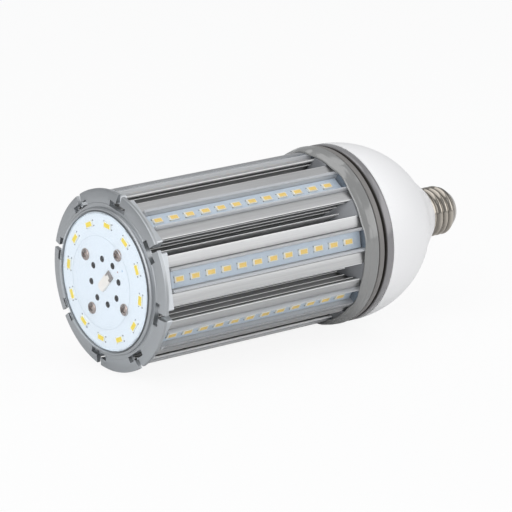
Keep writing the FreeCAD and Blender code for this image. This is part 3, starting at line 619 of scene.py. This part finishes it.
# painted shade: the walls of the holes, all nearer to the axis than this, are painted dark brown
hole_reach = 0.025
for face in board.data.polygons:
    spot = board.matrix_world @ face.center
    wall = abs((board.matrix_world.to_3x3() @ face.normal).x) < 0.5
    if wall and math.hypot(spot.y, spot.z) < hole_reach:
        face.material_index = 1
disc_front, disc_ring, disc_chips, disc_turn = 0.8, 29.26, 12, math.radians(5.91)
end_frame, tree, shader = finish_base("end_chip_frame", (0.95, 0.94, 0.86), 0.0, 0.35)
grain(tree, shader, 900.0, (0.3, 0.45))
end_phosphor, tree, shader = finish_base("end_chip_phosphor", (1.0, 0.74, 0.04), 0.0, 0.4)
grain(tree, shader, 1200.0, (0.36, 0.44), ((0.99, 0.72, 0.03), (1.0, 0.79, 0.07)))
chip_low, chip_top = disc_ring - half_wide, disc_ring + half_wide
end_chips = [
    ("end_chip_frames", ((disc_front - chip_high + 0.06, disc_front + 0.02), (-half_long, half_long),
                         (chip_low, chip_top)), 0.1, end_frame),
    ("end_chip_pads", ((disc_front - chip_high, disc_front - 0.3), (-half_long + 0.55, half_long - 0.5),
                       (chip_low + 0.35, chip_top - 0.35)), 0.06, end_phosphor)]
near_end, far_end = (half_long + 0.1, half_long + 0.75), (-half_long - 0.75, -half_long - 0.1)
outer_edge, inner_edge = (chip_top - 0.45, chip_top + 0.15), (chip_low - 0.15, chip_low + 0.45)
for name, end, edge in (("end_chip_marks", near_end, outer_edge), ("end_chip_marks_low", near_end, inner_edge),
                        ("end_chip_marks_far", far_end, outer_edge),
                        ("end_chip_marks_far_low", far_end, inner_edge)):
    end_chips.append((name, ((disc_front - 0.15, disc_front + 0.02), end, edge), 0.05, solder_dark))
for name, spans, ease, finish in end_chips:
    piece = crease(copies(slab(name + "_one", spans, ease), name, finish, disc_chips, disc_turn))
    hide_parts("end_leds")
    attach(piece, "root")

# Connector: a small cream moulded plug soldered near the disc's centre, round
# at one end, with a grey brown socket at the other; two print marks beside it.
cream, tree, shader = finish_base("cream_nylon", (0.86, 0.76, 0.66), 0.0, 0.42)
grain(tree, shader, 700.0, (0.36, 0.5), ((0.94, 0.88, 0.81), (0.97, 0.91, 0.845)))
socket_brown, tree, shader = finish_base("socket_grey_brown", (0.30, 0.26, 0.24), 0.1, 0.4)
grain(tree, shader, 700.0, (0.36, 0.5), ((0.27, 0.235, 0.215), (0.34, 0.30, 0.28)))
mark_red, tree, shader = finish_base("print_mark_red", (0.45, 0.25, 0.22), 0.0, 0.5)
grain(tree, shader, 900.0, (0.45, 0.55))
mark_blue, tree, shader = finish_base("print_mark_blue", (0.45, 0.62, 0.80), 0.0, 0.5)
grain(tree, shader, 900.0, (0.45, 0.55))
round_end = []
for k in range(11):
    a = math.pi * (1 + k / 10)
    round_end.append((-0.55 + 2.55 * math.cos(a), -3.2 + 2.0 * math.sin(a)))
plug_turn, print_span = 42.7, (0.76, 0.83)
for name, outline, span, finish, turn, ease in (
        ("plug_body", round_end + [(2.0, 3.9), (-3.1, 3.9)], (-0.4, 0.8), cream, plug_turn, 0.28),
        ("plug_socket", [(-3.0, 3.9), (1.9, 3.9), (1.9, 7.3), (-3.0, 7.3)], (-0.1, 0.8), socket_brown,
         plug_turn, 0.2),
        ("plug_tab", [(-1.7, 3.2), (0.6, 3.2), (0.6, 5.6), (-1.7, 5.6)], (-0.38, 0.2), cream,
         plug_turn, 0.15),
        ("print_mark_one", round_outline(-10.53, 7.17, 0.42, 16), print_span, mark_red, 0.0, 0.0),
        ("print_mark_two", round_outline(-14.28, 8.55, 0.5, 16), print_span, mark_blue, 0.0, 0.0)):
    piece = copies(crease(extruded(name + "_one", outline, span)), name, finish, 1, math.radians(turn))
    if ease:
        ease_edges(piece, ease, 40)
    if name.startswith("plug"):
        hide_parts("end_connector")
    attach(piece, "root")

# End screws: four zinc plated pan head screws with a cross recess, driven
# through the disc and the cap into the channels in the hub.
screw_ring, screw_turn, shank_radius, shank_span = 19.0, ARM_TURN + math.pi / 4, 1.35, (0.7, 12.6)
head_radius, head_high, head_rings, head_steps = 3.1, 1.3, 14, 48
recess_half, recess_reach, recess_deep = 0.5, 1.7, 1.0


def skinned(bm, rows, closed=False):
    # four-sided faces between neighbouring closed rows of points
    for a, b in zip(rows, rows[1:] + (rows[:1] if closed else [])):
        for i in range(len(a)):
            j = (i + 1) % len(a)
            bm.faces.new((a[i], a[j], b[j], b[i]))


zinc, tree, shader = finish_base("screw_zinc", (0.45, 0.36, 0.32), 1.0, 0.22)
grain(tree, shader, 2200.0, (0.2, 0.27), ((0.43, 0.345, 0.305), (0.49, 0.40, 0.355)))
bm = bmesh.new()
head_rows = []
for i in range(head_rings + 1):
    r = head_radius * i / head_rings
    dome = head_high * (0.12 + 0.88 * math.sqrt(max(0.0, 1 - (r / head_radius) ** 2)))
    row = []
    for w, h in round_outline(0.0, 0.0, r, head_steps):
        in_cross = min(abs(w), abs(h)) < recess_half and max(abs(w), abs(h)) < recess_reach
        deep = recess_deep if in_cross else 0.0
        row.append(bm.verts.new(place(disc_front - dome + deep, w, h + screw_ring)))
    head_rows.append(row)
rim = round_outline(0.0, screw_ring, head_radius, head_steps)
head_rows.append([bm.verts.new(place(disc_front, w, h)) for w, h in rim])
skinned(bm, head_rows)
bm.faces.new(head_rows[-1])
bmesh.ops.remove_doubles(bm, verts=bm.verts, dist=1e-7)
bmesh.ops.recalc_face_normals(bm, faces=bm.faces)
heads = crease(copies(body_of("end_screw_one", bm), "end_screw_heads", zinc, 4, screw_turn))
shank = extruded("end_shank_one", round_outline(0.0, screw_ring, shank_radius, 20), shank_span)
shanks = copies(crease(shank), "end_screw_shanks", zinc, 4, screw_turn)
for piece in (heads, shanks):
    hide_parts("end_screws")
    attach(piece, "root")

# Lens and gasket: a clear moulded cup over the disc with a thin moulded ring
# on its face, and a soft black ring sealing it inside the cap's lip.
lens_clear, tree, shader = clear_plastic("lens_clear", (0.86, 0.93, 0.98), 0.02, 0.04, 0.9)
grain(tree, shader, 200.0, (0.03, 0.08))
lens = turned("end_lens_cup", [(-1.56, 0), (-1.56, 33.6), (-1.5, 34.2), (-1.2, 34.7), (-0.6, 34.9),
                               (0.8, 34.9), (0.8, 33.9), (-0.6, 33.9), (-0.6, 0)])
lens.data.materials.append(lens_clear)
ring_frost, tree, shader = finish_base("lens_ring_frost", (0.60, 0.66, 0.72), 0.0, 0.4)
grain(tree, shader, 900.0, (0.36, 0.46), ((0.58, 0.64, 0.70), (0.63, 0.69, 0.75)))
lens_ring = turned("lens_moulded_ring", [(-1.6, 23.33), (-1.6, 23.47), (-1.45, 23.47), (-1.45, 23.33)])
lens_ring.data.materials.append(ring_frost)
for piece in (lens, lens_ring):
    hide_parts("end_lens")
    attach(piece, "root")
rubber, tree, shader = finish_base("gasket_rubber", (0.16, 0.17, 0.18), 0.0, 0.5)
grain(tree, shader, 600.0, (0.5, 0.7))
gasket = turned("lens_gasket_ring", [(0.25, 35.0), (0.2, 35.1), (0.2, 35.25), (0.25, 35.35),
                                     (2.4, 35.35), (2.4, 34.95), (0.35, 34.95)])
gasket.data.materials.append(rubber)
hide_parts("lens_gasket")
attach(gasket, "root")

# Collar: a glossy grey casting that takes the other end of the extrusion. Its
# rim lies on every arm's face, arches over every cover and runs down into
# every channel as a smooth tongue.
collar_paint, tree, shader = finish_base("collar_gloss_grey", (0.27, 0.27, 0.265), 0.2, 0.28, 1.0)
shader.inputs["Coat Roughness"].default_value = 0.06
grain(tree, shader, 1800.0, (0.24, 0.26), ((0.265, 0.265, 0.26), (0.269, 0.269, 0.264)))
rim_station, rim_radius, rim_end = 131.3, 43.3, 132.1
arch_crown, arch_round, arch_base = 44.4, 15.0, 43.0
back_station, back_radius, collar_back, collar_bore = 138.25, 46.42, 139.2, 30.0


def ramp(t):
    # a soft step from 0 to 1
    t = max(0.0, min(1.0, t))
    return t * t * (3 - 2 * t)


def rim_row(angle):
    # one closed section of the collar's ring at an angle from the arm's middle
    across = abs(angle)
    reach = arch_round ** 2 - ((arch_crown - arch_round) * math.sin(across)) ** 2
    arch = (arch_crown - arch_round) * math.cos(across) + math.sqrt(reach) if reach > 0 else 0.0
    inner = rim_radius
    if arch > 40:
        # the arch over the cover flows into the plain rim
        both = math.exp(4 * (arch - arch_base)) + math.exp(4 * (rim_radius - arch_base))
        inner = arch_base + math.log(both) / 4
    over = 1 - ramp((math.degrees(across) - 6.0) / 4.5)
    crease_at, crease_high = 134.2 + 1.1 * over, 45.45 + 0.7 * over
    points = [(collar_back, collar_bore), (collar_back, 44.2), (138.9, 44.25), (138.65, 46.15),
              (138.35, back_radius)]
    for t in (0.2, 0.4, 0.6, 0.8, 1.0):
        points.append((back_station + (crease_at + 0.5 - back_station) * t,
                       back_radius + (crease_high + 0.12 - back_radius) * t ** 1.2))
    points += [(crease_at + 0.2, crease_high + 0.04), (crease_at, crease_high)]
    start_at, start_high = crease_at - 0.2, crease_high - 0.08
    points.append((start_at, start_high))
    edge = inner + 0.98
    hollow = 0.1 * (1 - over) - 0.22 * over
    for t in (0.15, 0.3, 0.5, 0.7, 0.85):
        points.append((start_at + (rim_end - start_at) * t,
                       start_high + (edge - start_high) * t - hollow * math.sin(math.pi * t)))
    points += [(132.05, edge), (131.8, edge - 0.1), (131.55, edge - 0.3), (131.38, edge - 0.55),
               (rim_station, edge - 0.8), (131.36, inner)]
    lip = inner - 0.05
    points += [(133.0, lip), (135.0, lip - 0.15), (135.3, lip - 0.6), (135.4, 38.0), (135.4, collar_bore)]
    return points


bm = bmesh.new()
per_arm = 72
columns = []
for k in range(ARM_COUNT * per_arm):
    round_turn = math.tau * k / (ARM_COUNT * per_arm)
    from_arm = (round_turn + math.pi / ARM_COUNT) % (math.tau / ARM_COUNT) - math.pi / ARM_COUNT
    a = round_turn + ARM_TURN
    columns.append([bm.verts.new(place(x, -r * math.sin(a), r * math.cos(a))) for x, r in rim_row(from_arm)])
skinned(bm, columns, closed=True)
bmesh.ops.recalc_face_normals(bm, faces=bm.faces)
collar = crease(body_of("collar_ring", bm), 38)
collar.data.materials.append(collar_paint)
# a tongue that slopes up out of every channel to the rim: the upper row of
# points follows the channel's width, the lower row closes it over the hub
slope = [(117.5, 24.0), (121.0, 29.9), (124.5, 35.6), (126.6, 38.3), (128.5, 40.35), (129.8, 41.7),
         (130.7, 42.6), (131.15, 43.0), (131.6, 43.2), (134.0, 43.2)]
tongue_shares = [-1 + i / 6 for i in range(13)]
tongue_foot, foot_half_angle = 22.5, 0.07
bm = bmesh.new()
tongue_rows = []
for x, r in slope:
    flank_angle = math.radians(16.9 + (41.0 - min(r, 41.0)) * 0.13)
    half_angle = math.pi / ARM_COUNT - flank_angle + math.radians(0.9)
    row = []
    for u in tongue_shares:
        at = r + 0.35 * abs(u) ** 3 * (1 - ramp((r - 38.0) / 4.0))
        row.append((at * math.sin(u * half_angle), at * math.cos(u * half_angle)))
    for u in reversed(tongue_shares):
        a = u * foot_half_angle
        row.append((tongue_foot * math.sin(a), tongue_foot * math.cos(a)))
    tongue_rows.append([bm.verts.new(place(x, w, h)) for w, h in row])
skinned(bm, tongue_rows)
last = len(tongue_shares) * 2 - 1
for row in (tongue_rows[0], tongue_rows[-1]):
    for i in range(len(tongue_shares) - 1):
        bm.faces.new((row[i], row[i + 1], row[last - i - 1], row[last - i]))
bmesh.ops.recalc_face_normals(bm, faces=bm.faces)
tongue = body_of("tongue_one", bm)
# painted shade: the tongues, deep in the channels, get a darker copy of the collar's grey
tongue_shaded_paint, tree, shader = finish_base("collar_tongue_painted_shade", (0.14, 0.145, 0.155), 0.3, 0.3, 0.3)
grain(tree, shader, 1800.0, (0.28, 0.34), ((0.145, 0.15, 0.16), (0.165, 0.17, 0.18)))
tongues = crease(copies(tongue, "collar_tongues", tongue_shaded_paint, ARM_COUNT, BETWEEN_ARMS), 40)
# painted shade: a dark blue grey lining closes the recess behind the end of every strip
lining_shade_paint, tree, shader = finish_base("collar_lining_painted_shade", (0.19, 0.23, 0.28), 0.1, 0.35)
grain(tree, shader, 500.0, (0.3, 0.45), ((0.18, 0.22, 0.27), (0.21, 0.25, 0.30)))
lining = [(-6.0, 38.05), (6.0, 38.05), (6.0, 43.0), (3.0, 43.9), (-3.0, 43.9), (-6.0, 43.0)]
linings = on_every_arm("collar_linings", lining, (133.6, 135.35), lining_shade_paint)
for piece in (collar, tongues, linings):
    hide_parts("collar")
    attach(piece, "root")

# Rings behind the collar: a warm grey seal ring, a spacer painted near black as
# painted shade in the gap, and the glossy flange ring that carries the driver housing, held by four screws.
spacer_start, flange_start, flange_back, ring_bore, flange_radius = 142.6, 144.5, 148.7, 30.0, 46.2


def eased(profile, ease):
    # every corner of a turned profile gets a small round
    out = []
    count = len(profile)
    for i in range(count):
        a, b, c = (Vector(profile[(i + k) % count]) for k in (-1, 0, 1))
        near = min(ease, (b - a).length / 3, (c - b).length / 3)
        first, last = b + (a - b).normalized() * near, b + (c - b).normalized() * near
        for s in (0, 0.5, 1):
            point = first.lerp(b, s).lerp(b.lerp(last, s), s)
            out.append((point.x, point.y))
    return out


seal_plastic, tree, shader = finish_base("seal_warm_grey", (0.30, 0.28, 0.265), 0.1, 0.42)
grain(tree, shader, 1500.0, (0.38, 0.46), ((0.222, 0.21, 0.202), (0.23, 0.218, 0.21)))
seal = turned("seal_ring_band", [(collar_back, ring_bore), (collar_back, 44.2), (139.35, 44.25),
                                 (139.4, 45.75), (139.6, 46.0), (139.9, 46.08), (142.0, 46.05),
                                 (142.4, 45.9), (spacer_start, 45.5), (spacer_start, ring_bore)])
# painted shade: the spacer is near black, for the shade in the gap between seal and flange
spacer_painted_shade, tree, shader = finish_base("spacer_painted_shade", (0.045, 0.04, 0.035), 0.0, 0.6)
grain(tree, shader, 500.0, (0.5, 0.7))
spacer = turned("spacer_ring_band", [(spacer_start, ring_bore), (spacer_start, 43.4), (144.1, 43.4),
                                     (144.3, 44.0), (144.3, 45.5), (144.4, 45.6),
                                     (flange_start, 45.6), (flange_start, ring_bore)])
flange_paint, tree, shader = finish_base("flange_gloss_grey", (0.27, 0.26, 0.27), 0.3, 0.24, 0.5)
grain(tree, shader, 1800.0, (0.22, 0.24), ((0.262, 0.254, 0.261), (0.266, 0.258, 0.265)))
flange = turned("flange_ring_band", eased([(flange_start, ring_bore), (flange_start, flange_radius),
                                           (flange_back, flange_radius), (flange_back, ring_bore)], 0.8))
for piece, finish, node, slot in ((seal, seal_plastic, "seal_ring", "seal_ring"),
                                  (spacer, spacer_painted_shade, "spacer_ring", "spacer"),
                                  (flange, flange_paint, "flange_ring", "flange_ring")):
    piece.data.materials.append(finish)
    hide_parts(node)
    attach(piece, "root")
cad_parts["ring_screws"].material_slots[0].material = zinc

# Driver housing: a white moulded dome that narrows to a neck for the screw
# base, with a small step where dome and neck meet.
housing_white, tree, shader = finish_base("housing_white", (0.90, 0.895, 0.90), 0.0, 0.42)
housing_noise = grain(tree, shader, 1400.0, (0.4, 0.46), ((0.925, 0.918, 0.922), (0.94, 0.933, 0.937)))
emboss(tree, shader, housing_noise, 0.02, 0.00001)
dome_end, dome_inner_end, dome_round = 187.5, 186.9, 55.17
outer_middle, inner_middle = (147.90, -8.915), (146.12, -10.85)


def dome_point(middle, x):
    return x, middle[1] + math.sqrt(dome_round ** 2 - (x - middle[0]) ** 2)


dome = [(flange_back, 44.3), (148.75, 46.2)]
for i in range(1, 41):
    x = flange_back + (dome_end - flange_back) * math.sin(i / 40 * math.pi / 2)
    dome.append(dome_point(outer_middle, x))
# the step, the neck with its stub inside the screw shell, and back inside
dome += [(187.62, 29.3), (187.66, 28.85), (187.8, 28.62), (196.0, 22.0), (203.9, 15.6), (204.3, 15.15),
         (204.5, 14.7), (204.5, 13.3), (203.9, 13.3), (203.9, 11.6), (217.5, 11.6), (217.5, 10.0),
         (202.3, 10.0), (202.3, 13.4), (dome_inner_end, 26.3)]
for i in range(1, 20):
    dome.append(dome_point(inner_middle, dome_inner_end + (flange_back - dome_inner_end) * i / 20))
housing = turned("driver_housing_shell", dome, 256)
housing.data.materials.append(housing_white)
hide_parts("driver_housing")
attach(housing, "root")

# Driver: a green board in the housing's rails with its transformer, capacitor
# cans and coil, all hidden once the lamp is closed.
for node, name, dark, light, metallic in (
        ("driver_board", "driver_green", (0.05, 0.22, 0.09), (0.07, 0.28, 0.12), 0.0),
        ("transformer", "driver_tape", (0.35, 0.25, 0.05), (0.42, 0.31, 0.08), 0.0),
        ("capacitors", "driver_can", (0.05, 0.06, 0.10), (0.08, 0.09, 0.14), 0.2),
        ("inductor", "driver_ferrite", (0.05, 0.05, 0.05), (0.08, 0.08, 0.08), 0.0)):
    finish, tree, shader = finish_base(name, dark, metallic, 0.4)
    grain(tree, shader, 600.0, (0.32, 0.5), (dark, light))
    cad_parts[node].material_slots[0].material = finish

# Screw base: a rolled nickel plated shell with the rounded thread of lamp
# bases, a black glass insulator in its coned end and the centre contact.
thread_start, thread_turns, thread_pitch, thread_high = 209.6, 2.8, 3.629, 0.85
shell_radius, shell_steps, thread_from, thread_to = 12.15, 96, 208.4, 220.65
nickel, tree, shader = finish_base("nickel_plate", (0.47, 0.43, 0.38), 1.0, 0.22)
grain(tree, shader, 260.0, (0.13, 0.19), ((0.45, 0.41, 0.36), (0.50, 0.46, 0.405)))
# painted shade and highlight: the roots of the thread are painted darker than its crests, by distance from the
# axis, and the crests a little lighter
nickel_where = tree.nodes.new("ShaderNodeTexCoord")
nickel_flat = tree.nodes.new("ShaderNodeVectorMath")
nickel_flat.operation = "MULTIPLY"
nickel_flat.inputs[1].default_value = (0, 1, 1)
nickel_radius = tree.nodes.new("ShaderNodeVectorMath")
nickel_radius.operation = "LENGTH"
tree.links.new(nickel_where.outputs["Object"], nickel_flat.inputs[0])
tree.links.new(nickel_flat.outputs[0], nickel_radius.inputs[0])
paint_light_and_shade_by(tree, shader, nickel_radius.outputs["Value"], (0.009, 0.013),
       [(0.7, 1), (0.78, 0.5), (0.88, 0.8), (0.98, 1.12)])


def thread_radius(x, radius, angle):
    # a right handed thread that fades in and out over its first and last turns
    turn = (x - thread_start) / thread_pitch - angle / math.tau
    nearest = round(turn)
    start = nearest + angle / math.tau
    fade_in = max(0.0, min(1.0, start * 5 + 0.6))
    fade_out = max(0.0, min(1.0, (thread_turns - start) * 5 + 0.6))
    swell = 0.5 + 0.5 * math.cos(math.tau * (turn - nearest))
    return radius + thread_high * fade_in * fade_out * swell ** 0.85


outside = [(203.9, 12.7), (204.2, 12.9), (207.0, 12.9), (207.6, 12.75), (208.2, 12.3), (208.6, shell_radius)]
outside += [(208.6 + 0.15 * i, shell_radius) for i in range(1, 80)]
outside += [(220.7, 12.1), (221.1, 11.85), (224.4, 9.5), (224.7, 9.2), (224.6, 8.85)]
inside = ((220.4, 11.7), (208.0, 11.7), (203.9, 11.65))
bm = bmesh.new()
rows = []
for x, r in outside:
    row = []
    for k in range(shell_steps):
        a = math.tau * k / shell_steps
        radius = thread_radius(x, r, a) if thread_from < x < thread_to else r
        row.append(bm.verts.new(place(x, radius * math.cos(a), radius * math.sin(a))))
    rows.append(row)
rows += [hoop(bm, x, r, shell_steps) for x, r in inside]
skinned(bm, rows, closed=True)
bmesh.ops.recalc_face_normals(bm, faces=bm.faces)
shell = crease(body_of("screw_shell_skin", bm), 50)
shell.data.materials.append(nickel)
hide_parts("screw_shell")
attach(shell, "root")
black_glass, tree, shader = finish_base("base_black_glass", (0.02, 0.02, 0.022), 0.0, 0.12, 0.4)
grain(tree, shader, 300.0, (0.08, 0.2))
glass = turned("base_glass_cone", [(220.6, 0), (220.6, 11.55), (224.6, 8.7), (224.9, 8.4), (226.9, 5.8),
                                   (227.0, 5.5), (227.0, 3.0), (226.0, 3.0), (226.0, 0)])
glass.data.materials.append(black_glass)
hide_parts("base_insulator")
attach(glass, "root")
contact = turned("contact_button", [(226.0, 0), (226.0, 2.9), (227.0, 2.9), (227.0, 4.5), (227.3, 4.6),
                                    (228.0, 4.55), (228.8, 4.1), (229.4, 3.2), (229.75, 1.8), (229.8, 0)])
contact.data.materials.append(nickel)
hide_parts("centre_contact")
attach(contact, "root")
